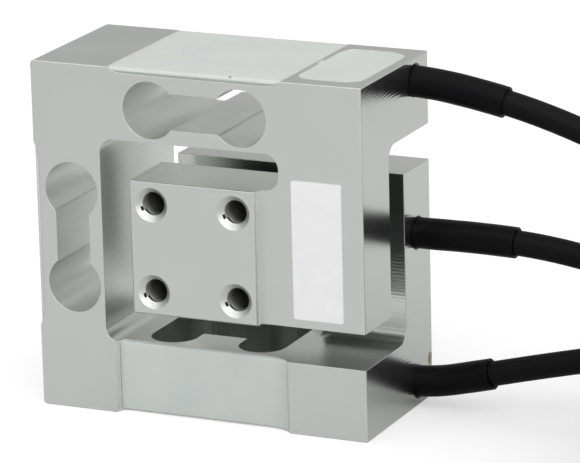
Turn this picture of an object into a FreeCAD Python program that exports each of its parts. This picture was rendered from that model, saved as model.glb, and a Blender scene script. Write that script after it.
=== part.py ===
import FreeCAD, Part
import math
import os
from FreeCAD import Placement, Rotation, Vector

# A three-axis force sensor. One machined aluminium body carries three parallel-guided beams in series:
# the front mounting block hangs from the top beam, the top beam joins the left beam, the left beam joins
# the lower beam, and the lower beam carries the rear mounting block. Each beam has thin sections with
# strain gauges bonded over them, sealed under white silicone. Each axis has its own cable.
# Frame: X to the cable side, Y to the rear, Z up. The origin is under the middle of the body.

# Body, in millimetres
SIZE = 76.0              # width and height of the square frame
DEPTH = 35.0             # front face to rear face
BEAM = 15.75             # outer face of a beam to the window
COLUMN = 19.0            # width of the front and rear columns on the cable side
BLOCK = 29.0             # side of the square mounting block
PROUD = 2.1              # mounting pad above the frame's face
SPLIT = 7.6              # gap between the front half and the rear half
WINDOW_RADIUS = 3.2      # corners of the window and roots of the columns
SLOT_ROUND_LIMIT = 0.45  # a slot's corner radius is at most this share of its height
PAD_FILLET = 0.8         # foot of the mounting pad
EDGE_ROUND = 0.3         # outer edges of the frame
CORNER_ROUND = 0.85      # the frame's two corners away from the cables
PAD_CHAMFER = 0.3        # rim of the mounting pad
OVERCUT = 1.0            # how far a cutter runs past the face that it opens

# Threaded holes of the mounting pads
THREAD = 6.0             # nominal diameter
THREAD_PITCH_SQUARE = 19.0   # hole to hole, both ways
THREAD_DEPTH = 12.0      # full thread, from the pad's face
COUNTERSINK = 0.4        # how far the mouth is chamfered
DRILL_POINT_ANGLE = 118.0

# Thin sections of the beams
FLEX_PITCH = 20.6        # between the two thin sections of one beam
FLEX_HOLE = 12.3         # holes through the top and left beams
FLEX_SLOT = 7.7          # slot that joins those holes
FLEX_WALL = 0.9          # thin wall left between those holes and the window
CROSS_HOLE = 10.4        # width of the long holes through the lower beam
CROSS_SLOT = 10.8        # slot that joins the long holes
CROSS_WALL = 1.2         # thin wall left in the lower beam, front and rear

# Gauge recesses and the silicone in them
RECESS_LENGTH = 40.4     # at the face
RECESS_DEPTH = 1.25      # on the top and left beams
RECESS_END_RADIUS = 8.0  # there the floor runs out to the face in an arc at both ends
CROSS_RECESS_DEPTH = 2.7     # on the lower beam, front and rear
CROSS_WALL_RADIUS = 2.5  # there one end is a wall with a rounded foot
CROSS_END_RADIUS = 5.5   # and the end at the cable side runs out in an arc
SEAL_DROP = 0.05         # silicone below the face, top and left
CROSS_SEAL_DROP = 1.85   # silicone below the face on the lower beam
SEAL_END_DROP = 0.25     # the same where it has climbed the run-out
MENISCUS = 5.6           # length over which it climbs there
WALL_CLIMB = 0.7         # how far it climbs the wall at the other end
WALL_MENISCUS = 1.6      # length over which it climbs there
SEAL_INSET = 0.15        # silicone stops short of the recess's open sides
SEAL_ROLL_SHARE = 0.8    # rounding along those sides, as a share of the silicone's thickness
SEAL_REAR_ROLL_SHARE = 0.25  # the same along the rear side of the top and left beams
GAUGE_LENGTH = 6.0
GAUGE_WIDTH = 4.2
GAUGE_THICKNESS = 0.12
GAUGE_ROW_PITCH = 13.0   # between the two gauges over one thin section

# Wiring pockets
POCKET_RIDGE = 0.8       # metal left between the top recess and the pocket
POCKET_LENGTH = 27.4     # on the top face and the rear column
LOWER_POCKET_LENGTH = 12.4   # on the end of the lower beam, which is less tall
POCKET_RADIUS = 4.0
POCKET_WALL = 2.2        # between the pocket and the cable-side face
POCKET_SEAL_DROP = 0.1   # silicone below the face
CHANNEL_WIDTH = 2.6      # wire channel from the gauge recess into the pocket
CHANNEL_OFFSET = 1.0
BOARD_THICKNESS = 1.0
BOARD_MARGIN = 1.5       # board to the pocket's far side
BOARD_END_MARGIN = 3.0   # board to the pocket's ends
BOARD_CABLE_GAP = 0.3    # board to the cable's jacket end

# Cables
CABLE = 5.4
SLEEVE = 6.7             # heat-shrink sleeve over the cable
SLEEVE_INSIDE = 1.2      # how far the sleeve reaches into the pocket
BORE_CLEARANCE = 0.25    # radial, between the sleeve and its bore
POCKET_FLOOR_UNDER_BORE = 0.2
CABLE_EDGE = 4.8         # axis of the top or lower cable to the nearer face
CABLE_INTO_POCKET = 5.0  # jacket end inside the pocket, from the inner wall

# Label on the front column
LABEL_WIDTH = 11.3
LABEL_HEIGHT = 29.8
LABEL_THICKNESS = 0.12
LABEL_RADIUS = 0.5
LABEL_FROM_EDGE = 4.8    # label to the cable-side face
LABEL_BASE = 25.4        # lower edge of the label above the base

# Stored cable: three tied coils in a stack
TURN_PITCH = 5.5         # centre to centre of neighbouring turns
TURNS_ACROSS = 3
LAYERS = 4
COIL_INNER_TURN = 22.0   # radius of the innermost turn
COIL_X = 128.0
COIL_Y = -18.35
COIL_CHAMFER = 1.8       # outer edges of the coil's shape
TIE_RADIUS = 2.2         # where the tie turns over the coil's edges
TIE_WIDTH = 4.8
TIE_THICKNESS = 0.8
TIE_CLEARANCE = 0.2
TIE_HEAD = (6.4, 4.4, 5.2)   # along the tie, out from it, across it
TIE_ANGLES = (30.0, 275.0)
LEAD = 1.25              # insulated core of the stripped cable end
LEAD_OFFSET = 0.85
LEAD_LENGTHS = (27.0, 24.0, 29.0, 22.0)
LEAD_GAP_ANGLE = 60.0    # part of the last turn left empty past the cable's end
ENTRY_LAYERS = {"lower": 3, "middle": 0, "top": 0}   # layer, counted up, in which each cable joins its coil

HALF = SIZE / 2
FRONT = -DEPTH / 2
REAR = DEPTH / 2
WINDOW_LOW = BEAM
WINDOW_HIGH = SIZE - BEAM
BLOCK_LOW = HALF - BLOCK / 2
BLOCK_HIGH = HALF + BLOCK / 2
COLUMN_LEFT = HALF - COLUMN
PAD_FACE = FRONT - PROUD
BORE_RADIUS = SLEEVE / 2 + BORE_CLEARANCE
CABLE_Y = (SPLIT / 2 + REAR) / 2
POCKET_WIDTH = HALF - POCKET_WALL - POCKET_RIDGE - RECESS_LENGTH / 2
POCKET_X = HALF - POCKET_WALL - POCKET_WIDTH / 2
JACKET_END = HALF - POCKET_WALL - CABLE_INTO_POCKET
COIL_OUTER_TURN = COIL_INNER_TURN + (TURNS_ACROSS - 1) * TURN_PITCH
COIL_BASE = TIE_THICKNESS + TIE_CLEARANCE
COIL_HEIGHT = LAYERS * TURN_PITCH
COIL_ENTRY_ANGLE = 90.0  # the cable joins its coil on the rear side
CABLE_Z = {"lower": CABLE_EDGE, "middle": HALF, "top": SIZE - CABLE_EDGE}
CABLES = ("lower", "middle", "top")
CHANNEL_RECESSES = {"top": "top", "lower": "rear"}   # pocket, and the recess that a channel joins to it

# Each kind of gauge recess: its width across the beam, its depth, and the radii at its two ends
BEAM_RECESS = (DEPTH, RECESS_DEPTH, (RECESS_END_RADIUS, RECESS_END_RADIUS))
CROSS_RECESS = (BEAM, CROSS_RECESS_DEPTH, (CROSS_WALL_RADIUS, CROSS_END_RADIUS))

# Where each face's own frame stands: local x along the beam, y across it, z out of the face
ON_TOP = Placement(Vector(0, 0, SIZE), Rotation())
ON_LEFT = Placement(Vector(-HALF, 0, HALF), Rotation(Vector(0, 0, 1), Vector(0, 1, 0), Vector(-1, 0, 0)))
ON_FRONT = Placement(Vector(0, FRONT, BEAM / 2),
                     Rotation(Vector(1, 0, 0), Vector(0, 0, 1), Vector(0, -1, 0)))
OUT_OF_REAR = Rotation(Vector(1, 0, 0), Vector(0, 0, -1), Vector(0, 1, 0))
ON_REAR = Placement(Vector(0, REAR, BEAM / 2), OUT_OF_REAR)


def block(x0, x1, y0, y1, z0, z1):
    """A box between two corners."""
    return Part.makeBox(x1 - x0, y1 - y0, z1 - z0, Vector(x0, y0, z0))


def edges_along(shape, direction):
    """The straight edges of a shape that run along a direction."""
    found = []
    for edge in shape.Edges:
        run = edge.Vertexes[-1].Point - edge.Vertexes[0].Point
        if run.Length > 0 and run.cross(direction).Length < 1e-6 * run.Length:
            found.append(edge)
    return found


def rounded_block(corners, radius, direction):
    """A box with the four edges along one direction rounded."""
    plain = block(*corners)
    return plain.makeFillet(radius, edges_along(plain, direction))


def placed(shape, placement):
    """A copy of a shape, carried from a face's own frame into the body's frame."""
    moved = shape.copy()
    moved.Placement = placement.multiply(moved.Placement)
    return moved


def corner_fillet(length, radius):
    """The material left in an inside corner by a round cutter: along x, filling the corner at y = z = 0."""
    corner = block(0, length, 0, radius, 0, radius)
    cutter = Part.makeCylinder(radius, length, Vector(0, radius, radius), Vector(1, 0, 0))
    return corner.cut(cutter)


def threaded_hole(x, z):
    """A blind tapped hole into the front pad, at its nominal diameter, with drill point and countersink."""
    radius = THREAD / 2
    inward = Vector(0, 1, 0)
    tip = radius / math.tan(math.radians(DRILL_POINT_ANGLE / 2))
    barrel = Part.makeCylinder(radius, THREAD_DEPTH, Vector(x, PAD_FACE, z), inward)
    point = Part.makeCone(radius, 0, tip, Vector(x, PAD_FACE + THREAD_DEPTH, z), inward)
    mouth = Part.makeCone(radius + COUNTERSINK, radius, COUNTERSINK, Vector(x, PAD_FACE, z), inward)
    return barrel.fuse([point, mouth])


def mounting_half():
    """The front block, its column and the root fillet under the top beam, without the pad."""
    arm = block(-BLOCK / 2, HALF, FRONT, -SPLIT / 2, BLOCK_LOW, WINDOW_HIGH)
    slot_corners = (-HALF, COLUMN_LEFT, FRONT - OVERCUT, OVERCUT, BLOCK_HIGH, WINDOW_HIGH)
    slot_radius = min(WINDOW_RADIUS, SLOT_ROUND_LIMIT * (WINDOW_HIGH - BLOCK_HIGH))
    arm = arm.cut(rounded_block(slot_corners, slot_radius, Vector(0, 1, 0)))
    root = corner_fillet(COLUMN, WINDOW_RADIUS)
    root.rotate(Vector(), Vector(1, 0, 0), -90)
    root.translate(Vector(COLUMN_LEFT, -SPLIT / 2, WINDOW_HIGH))
    return arm.fuse(root)


def mounting_pad():
    """The raised square face of the front block, with its foot fillet."""
    pad = block(-BLOCK / 2, BLOCK / 2, PAD_FACE, FRONT, BLOCK_LOW, BLOCK_HIGH)
    outer = [e for e in pad.Edges if all(abs(v.Point.y - PAD_FACE) < 1e-6 for v in e.Vertexes)]
    pad = pad.makeChamfer(PAD_CHAMFER, outer)
    foot = corner_fillet(BLOCK, PAD_FILLET)
    foot.Placement = Placement(Vector(BLOCK / 2, FRONT, BLOCK_LOW),
                               Rotation(Vector(0, 0, 1), Vector(1, 0, 0), Vector(0, -1, 0)))
    return pad.fuse(foot)


def rear_of(front_shape):
    """The rear half is the front half turned half a turn about the sensor's own X axis."""
    turned = front_shape.copy()
    turned.rotate(Vector(0, 0, HALF), Vector(1, 0, 0), 180)
    return turned


def flexure_cutter():
    """Two round holes joined by a slot, through a beam: along local x, through local y, centred on z = 0."""
    through = DEPTH + 2 * OVERCUT
    start = FRONT - OVERCUT
    slot = block(-FLEX_PITCH / 2, FLEX_PITCH / 2, start, start + through, -FLEX_SLOT / 2, FLEX_SLOT / 2)
    holes = [Part.makeCylinder(FLEX_HOLE / 2, through, Vector(x, start, 0), Vector(0, 1, 0))
             for x in (-FLEX_PITCH / 2, FLEX_PITCH / 2)]
    return slot.fuse(holes)


def cross_flexure_cutter():
    """Two long holes joined by a slot, straight down through the lower beam."""
    reach = REAR - CROSS_RECESS_DEPTH - CROSS_WALL
    low, high = -OVERCUT, BEAM + OVERCUT
    slot = block(-FLEX_PITCH / 2, FLEX_PITCH / 2, -CROSS_SLOT / 2, CROSS_SLOT / 2, low, high)
    radius = CROSS_HOLE / 2
    holes = []
    for middle in (-FLEX_PITCH / 2, FLEX_PITCH / 2):
        holes.append(block(middle - radius, middle + radius, radius - reach, reach - radius, low, high))
        for end in (radius - reach, reach - radius):
            holes.append(Part.makeCylinder(radius, high - low, Vector(middle, end, low)))
    return slot.fuse(holes)


def recess_cutter(width, depth, radii):
    """A gauge recess across a beam, in the face's own frame. A radius over the depth runs out to the face."""
    walls = []
    for radius in radii:
        runout = math.sqrt(depth * (2 * radius - depth)) if radius > depth else radius
        walls.append(RECESS_LENGTH / 2 - runout + radius)
    side = width / 2 + OVERCUT
    shape = block(-walls[0], walls[1], -side, side, -depth, -depth + max(radii) + OVERCUT)
    for sign, radius in zip((-1, 1), radii):
        feet = [edge for edge in edges_along(shape, Vector(0, 1, 0))
                if edge.CenterOfMass.z < 0 and edge.CenterOfMass.x * sign > 0]
        shape = shape.makeFillet(radius, feet)
    return shape


def gauge_plates(rows, depth):
    """Foil strain gauges bonded to the recess floor over both thin sections, in the face's own frame."""
    plates = []
    for section in (-FLEX_PITCH / 2, FLEX_PITCH / 2):
        for row in rows:
            corner = Vector(section - GAUGE_LENGTH / 2, row * GAUGE_ROW_PITCH - GAUGE_WIDTH / 2, -depth)
            plates.append(Part.makeBox(GAUGE_LENGTH, GAUGE_WIDTH, GAUGE_THICKNESS, corner))
    return Part.makeCompound(plates)


def climb(low_point, high_point):
    """The silicone's surface where it is drawn up at a recess's end: an arc that leaves the level smoothly."""
    run, rise = high_point.x - low_point.x, high_point.z - low_point.z
    radius = (run ** 2 + rise ** 2) / (2 * rise)
    half_turn = math.asin(run / radius) / 2
    middle = low_point + Vector(radius * math.sin(half_turn), 0, radius * (1 - math.cos(half_turn)))
    return Part.Arc(low_point, middle, high_point).toShape()


def seal_outline(depth, drop):
    """The silicone's outline along a recess: level, and drawn up at both ends if it lies low."""
    end = RECESS_LENGTH / 2
    floor = [Vector(end, 0, -depth), Vector(-end, 0, -depth)]
    if drop <= SEAL_END_DROP:
        return Part.makePolygon(floor + [Vector(-end, 0, -drop), Vector(end, 0, -drop), floor[0]])
    wall_top, wall_foot = Vector(-end, 0, WALL_CLIMB - drop), Vector(WALL_MENISCUS - end, 0, -drop)
    low_point, high_point = Vector(end - MENISCUS, 0, -drop), Vector(end, 0, -SEAL_END_DROP)
    level = Part.makeLine(wall_foot, low_point)
    below = Part.makePolygon([high_point] + floor + [wall_top])
    return Part.Wire([climb(wall_foot, wall_top), level, climb(low_point, high_point)] + below.Edges)


def recess_seal(recess, drop, rolls):
    """The silicone in a gauge recess, rounded off along the recess's two open sides, in the face's own frame."""
    width, depth, _ = recess
    side = width / 2 - SEAL_INSET
    layer = Part.Face(seal_outline(depth, drop)).extrude(Vector(0, 2 * side, 0))
    layer.translate(Vector(0, -side, 0))
    for sign, share in zip((-1, 1), rolls):
        rims = []
        for edge in layer.Edges:
            first, last = edge.Vertexes[0].Point, edge.Vertexes[-1].Point
            at_top = min(first.z, last.z) > -depth + GAUGE_THICKNESS
            if at_top and abs(last.x - first.x) > OVERCUT and first.y * sign > side - SEAL_INSET:
                rims.append(edge)
        layer = layer.makeFillet(share * (depth - drop), rims)
    return layer.common(recess_cutter(*recess))


def pocket_space(length, depth, top):
    """A wiring pocket: x across, y along, from its floor at -depth up to top, in the face's own frame."""
    corners = (-POCKET_WIDTH / 2, POCKET_WIDTH / 2, -length / 2, length / 2, -depth, top)
    return rounded_block(corners, POCKET_RADIUS, Vector(0, 0, 1))


def terminal_board(length, depth):
    """The small circuit board on a pocket's floor, in the pocket's own frame, clear of the cable end."""
    left = -POCKET_WIDTH / 2 + BOARD_MARGIN
    right = POCKET_WIDTH / 2 - CABLE_INTO_POCKET - BOARD_CABLE_GAP
    half = length / 2 - BOARD_END_MARGIN
    return block(left, right, -half, half, -depth, -depth + BOARD_THICKNESS)


def pocket_frames():
    """Each wiring pocket: its frame, its length and its depth, which puts its floor under the cable bore."""
    under_bore = BORE_RADIUS + POCKET_FLOOR_UNDER_BORE
    rear_depth = REAR - CABLE_Y + under_bore
    return {
        "top": (Placement(Vector(POCKET_X, 0, SIZE), Rotation()), POCKET_LENGTH, CABLE_EDGE + under_bore),
        "middle": (Placement(Vector(POCKET_X, REAR, HALF), OUT_OF_REAR), POCKET_LENGTH, rear_depth),
        "lower": (Placement(Vector(POCKET_X, REAR, BEAM / 2), OUT_OF_REAR), LOWER_POCKET_LENGTH,
                  rear_depth),
    }


def wire_channel(name, past_face):
    """A channel for the gauge wires, from the top or rear recess into its pocket, as deep as the recess."""
    left = RECESS_LENGTH / 2 - OVERCUT
    right = POCKET_X - POCKET_WIDTH / 2 + OVERCUT
    low, high = CHANNEL_OFFSET - CHANNEL_WIDTH / 2, CHANNEL_OFFSET + CHANNEL_WIDTH / 2
    if name == "top":
        return block(left, right, low, high, SIZE - RECESS_DEPTH, SIZE + past_face)
    return block(left, right, REAR - CROSS_RECESS_DEPTH, REAR + past_face, BEAM / 2 + low, BEAM / 2 + high)


def sensor_body():
    """The body in one piece: frame, two mounting halves, thin sections, recesses, pockets and bores."""
    along_y = Vector(0, 1, 0)
    envelope = block(-HALF, HALF, FRONT, REAR, 0, SIZE)
    corners = [edge for edge in edges_along(envelope, along_y) if edge.CenterOfMass.x < 0]
    envelope = envelope.makeFillet(CORNER_ROUND, corners)
    smooth = [edge.CenterOfMass for edge in edges_along(envelope, along_y) if edge.CenterOfMass.x < 0]
    envelope = envelope.makeFillet(EDGE_ROUND, [e for e in envelope.Edges if e.CenterOfMass not in smooth])
    window_corners = (-HALF + BEAM, HALF + COLUMN, FRONT - OVERCUT, REAR + OVERCUT, WINDOW_LOW, WINDOW_HIGH)
    window = rounded_block(window_corners, WINDOW_RADIUS, along_y)
    half = mounting_half()
    shape = block(-HALF, HALF, FRONT, REAR, 0, SIZE).cut(window)
    shape = shape.fuse([half, rear_of(half)]).common(envelope)

    pad = mounting_pad()
    shape = shape.fuse([pad, rear_of(pad)])
    offset = THREAD_PITCH_SQUARE / 2
    for x in (-offset, offset):
        for z in (HALF - offset, HALF + offset):
            hole = threaded_hole(x, z)
            shape = shape.cut([hole, rear_of(hole)])

    from_window = FLEX_WALL + FLEX_HOLE / 2
    top_flexure = flexure_cutter()
    top_flexure.translate(Vector(0, 0, WINDOW_HIGH + from_window))
    left_flexure = flexure_cutter()
    left_flexure.rotate(Vector(), along_y, 90)
    left_flexure.translate(Vector(-HALF + BEAM - from_window, 0, HALF))
    shape = shape.cut([top_flexure, left_flexure, cross_flexure_cutter()])

    recess = recess_cutter(*BEAM_RECESS)
    cross_recess = recess_cutter(*CROSS_RECESS)
    cuts = [placed(recess, ON_TOP), placed(recess, ON_LEFT)]
    # The lower beam's recesses stay under the window, so they don't reach the columns above.
    shape = shape.cut(cuts + [placed(cross_recess, ON_FRONT), placed(cross_recess, ON_REAR)])

    for name, (frame, length, depth) in pocket_frames().items():
        # The bore runs on past the pocket's wall, so that it clears the rounded corner of the pocket too.
        bore_start = Vector(HALF - POCKET_WALL - POCKET_RADIUS, CABLE_Y, CABLE_Z[name])
        bore_length = POCKET_WALL + POCKET_RADIUS + OVERCUT
        bore = Part.makeCylinder(BORE_RADIUS, bore_length, bore_start, Vector(1, 0, 0))
        shape = shape.cut([placed(pocket_space(length, depth, OVERCUT), frame), bore])
    return shape.cut([wire_channel(name, OVERCUT) for name in CHANNEL_RECESSES]).removeSplitter()


# Each cable's route, from its jacket end in the pocket to where it joins its coil, after the bore's exit.
COIL_ENTRY_Y = COIL_Y + COIL_OUTER_TURN
ROUTES = {
    "lower": [(40.0, 10.65, 4.9), (51.0, 10.9, 7.5), (64.0, 11.4, 10.8), (79.0, 12.3, 14.2),
              (94.0, 13.4, 17.4), (108.5, 14.3, 19.6), (119.5, 14.6, 20.3)],
    "middle": [(40.0, 10.65, 38.0), (51.5, 10.75, 38.2), (65.5, 11.1, 37.7), (80.0, 11.9, 35.2),
               (95.0, 13.0, 31.0), (109.0, 14.1, 27.4), (119.5, 14.6, 26.0)],
    "top": [(40.0, 10.65, 71.1), (51.5, 10.7, 69.5), (65.0, 10.9, 66.6), (80.0, 11.6, 61.4),
            (95.0, 12.8, 55.2), (109.0, 14.1, 50.2), (119.5, 14.6, 48.1)],
}
SLEEVE_OUTSIDE = {"lower": 17.2, "middle": 22.4, "top": 20.2}   # body's face to where the sleeve is cut off
SLEEVE_RUN_COUNT = 3     # runs of the route, with their bends, that the longest sleeve needs


def coil_layer_z(name, layer):
    """Height of the middle of one layer of turns, counted up from the coil's own base."""
    return COIL_BASE + CABLES.index(name) * COIL_HEIGHT + (layer + 0.5) * TURN_PITCH


def route_points(name):
    """The whole route: jacket end, the points chosen by hand, and the start of the coil's first turn."""
    start = Vector(JACKET_END, CABLE_Y, CABLE_Z[name])
    end = Vector(COIL_X, COIL_ENTRY_Y, coil_layer_z(name, ENTRY_LAYERS[name]))
    return [start] + [Vector(*point) for point in ROUTES[name]] + [end]


def cord_edges(points):
    """Straight runs joined by tangent arcs, each as large as its two runs allow. Also returns the radii."""
    edges, radii, here = [], [], points[0]
    for before, corner, after in zip(points, points[1:], points[2:]):
        run_in, run_out = corner - before, after - corner
        turn = run_in.getAngle(run_out)
        trim = 0.45 * min(run_in.Length, run_out.Length)
        radii.append(trim / math.tan(turn / 2))
        into, out = Vector(run_in).normalize(), Vector(run_out).normalize()
        arc_start, arc_end = corner - into * trim, corner + out * trim
        bisector = (out - into).normalize()
        middle = corner + bisector * (radii[-1] / math.cos(turn / 2) - radii[-1])
        edges.append(Part.makeLine(here, arc_start))
        edges.append(Part.Arc(arc_start, middle, arc_end).toShape())
        here = arc_end
    edges.append(Part.makeLine(here, points[-1]))
    return edges, radii


def tube(edges, diameter):
    """A round bar along a path that starts along X."""
    start = edges[0].Vertexes[0].Point
    section = Part.Wire(Part.makeCircle(diameter / 2, start, Vector(1, 0, 0)))
    return Part.Wire(edges).makePipeShell([section], True, False)


def cable_pieces(name):
    """The cable's own tube and the heat-shrink sleeve over its first stretch."""
    edges, radii = cord_edges(route_points(name))
    cable = tube(edges, CABLE)
    length = sum(edge.Length for edge in edges)
    share = cable.Volume / (math.pi * CABLE ** 2 / 4 * length)
    print(f"{name} cable: {length:.1f} mm to its coil, volume share {share:.4f}")
    print("radii", [round(radius) for radius in radii])
    inside = block(0, HALF - POCKET_WALL - SLEEVE_INSIDE, 0, DEPTH, -SIZE, 2 * SIZE)
    beyond = block(HALF + SLEEVE_OUTSIDE[name], COIL_X, 0, DEPTH, -SIZE, 2 * SIZE)
    sleeve = tube(edges[:2 * SLEEVE_RUN_COUNT], SLEEVE).cut([inside, beyond, cable])
    return cable, sleeve


def last_turn_gap(name):
    """The part of the coil's last outer turn that stays empty past the cable's end."""
    low = coil_layer_z(name, LAYERS - 1 - ENTRY_LAYERS[name]) - TURN_PITCH / 2
    foot = Vector(COIL_X, COIL_Y, low)
    gap = Part.makeCylinder(2 * COIL_OUTER_TURN, TURN_PITCH, foot, Vector(0, 0, 1), LEAD_GAP_ANGLE)
    gap = gap.cut(Part.makeCylinder(COIL_OUTER_TURN - TURN_PITCH / 2, TURN_PITCH, foot))
    gap.rotate(foot, Vector(0, 0, 1), COIL_ENTRY_ANGLE)
    return gap


def coil_pieces(name, cable):
    """The coil's outer shape, open where the cable ends, and the four cores that leave the end straight."""
    foot = Vector(COIL_X, COIL_Y, COIL_BASE + CABLES.index(name) * COIL_HEIGHT)
    coil = Part.makeCylinder(COIL_OUTER_TURN + TURN_PITCH / 2, COIL_HEIGHT, foot)
    coil = coil.cut(Part.makeCylinder(COIL_INNER_TURN - TURN_PITCH / 2, COIL_HEIGHT, foot))
    rims = [edge for edge in coil.Edges if isinstance(edge.Curve, Part.Circle)]
    coil = coil.makeChamfer(COIL_CHAMFER, rims)
    coil = coil.cut([cable, last_turn_gap(name)])
    end_angle = math.radians(COIL_ENTRY_ANGLE + LEAD_GAP_ANGLE)
    outward = Vector(math.cos(end_angle), math.sin(end_angle), 0)
    onward = Vector(math.sin(end_angle), -math.cos(end_angle), 0)
    jacket_end = Vector(COIL_X, COIL_Y, coil_layer_z(name, LAYERS - 1 - ENTRY_LAYERS[name]))
    jacket_end += outward * COIL_OUTER_TURN
    leads = []
    for (side, level), length in zip(((-1, -1), (1, -1), (-1, 1), (1, 1)), LEAD_LENGTHS):
        start = jacket_end + outward * side * LEAD_OFFSET + Vector(0, 0, level * LEAD_OFFSET)
        leads.append(Part.makeCylinder(LEAD / 2, length, start, onward))
    return coil, Part.makeCompound(leads)


def coil_tie(angle):
    """One nylon tie around the stacked coils, with its locking head on the outside."""
    inner = COIL_INNER_TURN - TURN_PITCH / 2 - TIE_CLEARANCE
    outer = COIL_OUTER_TURN + TURN_PITCH / 2 + TIE_CLEARANCE
    top = COIL_BASE + len(CABLES) * COIL_HEIGHT + TIE_CLEARANCE
    half = TIE_WIDTH / 2
    space = rounded_block((inner, outer, -half, half, TIE_THICKNESS, top), TIE_RADIUS, Vector(0, 1, 0))
    band_corners = (inner - TIE_THICKNESS, outer + TIE_THICKNESS, -half, half, 0, top + TIE_THICKNESS)
    band = rounded_block(band_corners, TIE_RADIUS + TIE_THICKNESS, Vector(0, 1, 0)).cut(space)
    along, out, across = TIE_HEAD
    middle = top / 2
    head = block(outer + TIE_THICKNESS, outer + TIE_THICKNESS + out, -across / 2, across / 2,
                 middle - along / 2, middle + along / 2)
    tie = band.fuse(head)
    tie.rotate(Vector(), Vector(0, 0, 1), angle)
    tie.translate(Vector(COIL_X, COIL_Y, 0))
    return tie


def label():
    """The blank adhesive label on the front column."""
    right, top = HALF - LABEL_FROM_EDGE, LABEL_BASE + LABEL_HEIGHT
    corners = (right - LABEL_WIDTH, right, FRONT - LABEL_THICKNESS, FRONT, LABEL_BASE, top)
    return rounded_block(corners, LABEL_RADIUS, Vector(0, 1, 0))


def build():
    """All pieces by node name."""
    pieces = {"sensor_body": sensor_body(), "label": label()}

    # Each gauged face: its frame, its recess, how low its silicone lies, the rounding along the silicone's
    # two open sides and the rows of gauges
    both_rows, one_row = (-0.5, 0.5), (0,)
    front_and_rear = (SEAL_ROLL_SHARE, SEAL_REAR_ROLL_SHARE)
    alike = (SEAL_ROLL_SHARE, SEAL_ROLL_SHARE)
    gauged_faces = {
        "top": (ON_TOP, BEAM_RECESS, SEAL_DROP, front_and_rear, both_rows),
        "left": (ON_LEFT, BEAM_RECESS, SEAL_DROP, front_and_rear, both_rows),
        "front": (ON_FRONT, CROSS_RECESS, CROSS_SEAL_DROP, alike, one_row),
        "rear": (ON_REAR, CROSS_RECESS, CROSS_SEAL_DROP, alike, one_row),
    }
    for name, (frame, recess, drop, rolls, rows) in gauged_faces.items():
        gauges = gauge_plates(rows, recess[1])
        silicone = recess_seal(recess, drop, rolls).cut(gauges.Solids)
        pieces[f"{name}_strain_gauges"] = placed(gauges, frame)
        pieces[f"{name}_gauge_silicone"] = placed(silicone, frame)

    for name, (frame, length, depth) in pocket_frames().items():
        cable, sleeve = cable_pieces(name)
        board = placed(terminal_board(length, depth), frame)
        fill = placed(pocket_space(length, depth, -POCKET_SEAL_DROP), frame)
        if name in CHANNEL_RECESSES:
            beside = pieces[f"{CHANNEL_RECESSES[name]}_gauge_silicone"]
            fill = fill.fuse(wire_channel(name, -POCKET_SEAL_DROP).cut(beside)).removeSplitter()
        coil, leads = coil_pieces(name, cable)
        pieces[f"{name}_terminal_board"] = board
        pieces[f"{name}_wiring_silicone"] = fill.cut([board, cable, sleeve])
        pieces[f"{name}_cable_sleeve"] = sleeve
        pieces[f"{name}_cable"] = cable
        pieces[f"{name}_cable_coil"] = coil
        pieces[f"{name}_cable_leads"] = leads
    pieces["coil_ties"] = Part.makeCompound([coil_tie(angle) for angle in TIE_ANGLES])
    return pieces


os.makedirs("parts", exist_ok=True)
for node, shape in build().items():
    shape.exportStep(f"parts/{node}.step")
    print(f"{node}: {len(shape.Solids)} solids, {shape.Volume:.1f} mm3, valid {shape.isValid()}")
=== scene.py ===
import math

import bmesh
import bpy
from mathutils import Euler, Matrix, Vector, noise


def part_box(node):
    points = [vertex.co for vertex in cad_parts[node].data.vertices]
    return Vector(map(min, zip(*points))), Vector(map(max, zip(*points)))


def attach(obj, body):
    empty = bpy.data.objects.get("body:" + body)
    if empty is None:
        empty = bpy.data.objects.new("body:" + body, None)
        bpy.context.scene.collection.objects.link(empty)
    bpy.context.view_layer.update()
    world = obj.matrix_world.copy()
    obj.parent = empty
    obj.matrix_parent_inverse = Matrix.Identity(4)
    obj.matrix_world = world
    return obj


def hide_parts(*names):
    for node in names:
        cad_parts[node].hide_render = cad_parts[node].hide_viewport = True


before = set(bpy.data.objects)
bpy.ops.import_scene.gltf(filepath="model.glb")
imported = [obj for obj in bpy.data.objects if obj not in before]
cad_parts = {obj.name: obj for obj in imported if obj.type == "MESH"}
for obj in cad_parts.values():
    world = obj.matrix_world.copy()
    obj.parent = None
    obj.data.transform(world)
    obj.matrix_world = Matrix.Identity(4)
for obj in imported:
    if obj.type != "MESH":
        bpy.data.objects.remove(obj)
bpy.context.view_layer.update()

# Sensor body
# One block of aluminium alloy, milled to a frame of slotted beams with a mounting block at the front and
# one at the rear. Its outer faces are bead-blasted, the cable side is face-milled, and slots and holes
# are left as the cutter made them. All sharp edges are broken with a file.
MM = 0.001
EDGE_BREAK = 0.12 * MM
CORNER = 0.9 * MM            # the frame's rounded corners lie this near to its sides
BLASTED_ROUGHNESS = 0.34
FACE_MILLED_ROUGHNESS = 0.15
AS_CUT_ROUGHNESS = 0.25
COUNTERSUNK_ROUGHNESS = 0.38
FILED_ROUGHNESS = 0.5
MILL_RADIUS = 31.5 * MM
NEAR = 0.1 * MM              # a face this near to a side of the body belongs to it
CABLE_SIDE_EDGE = 0.3 * MM   # the rounded edges of the cable side lie this near to it
COUNTERSINK_ZONE = 0.5 * MM  # how far below the mounting faces a slope is a countersink's
MERGE_REACH = 0.002 * MM
FLAT_ANGLE = math.radians(0.4)
BROKEN_ANGLES = (math.radians(50), math.radians(125))
body_low, body_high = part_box("sensor_body")
frame_face = -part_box("label")[1].y   # how far the frame's front and rear faces stand from the middle


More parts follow.
